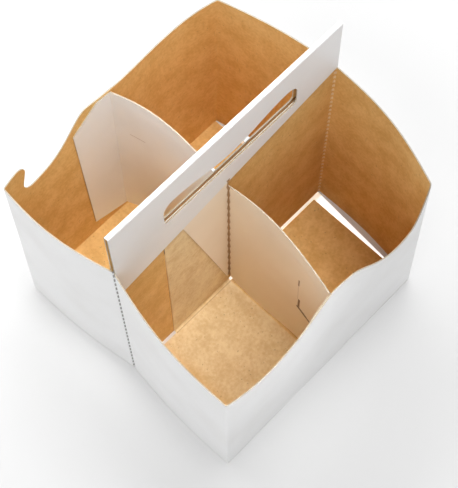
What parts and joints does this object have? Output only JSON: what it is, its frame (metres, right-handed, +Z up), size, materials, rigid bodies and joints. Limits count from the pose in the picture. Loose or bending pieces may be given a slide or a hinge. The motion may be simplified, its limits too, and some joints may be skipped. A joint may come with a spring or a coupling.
{
  "type": "cardboard bottle carrier",
  "caption": "Open-topped folded cardboard bottle carrier with a slotted centre handle, cross dividers and scooped side walls, white outside and kraft inside.",
  "frame": {"origin": "centre of the carrier's outline in plan, on the surface it stands on", "axes": "+X along the handle from the near end to the far end, +Y across it towards the wall with the hook, +Z up"},
  "size_m": [0.1938, 0.1963, 0.224],
  "materials": {
    "board": "white coated outside, bare kraft inside"
  },
  "bodies": {
    "root": {"carrier": "board"}
  },
  "joints": []
}
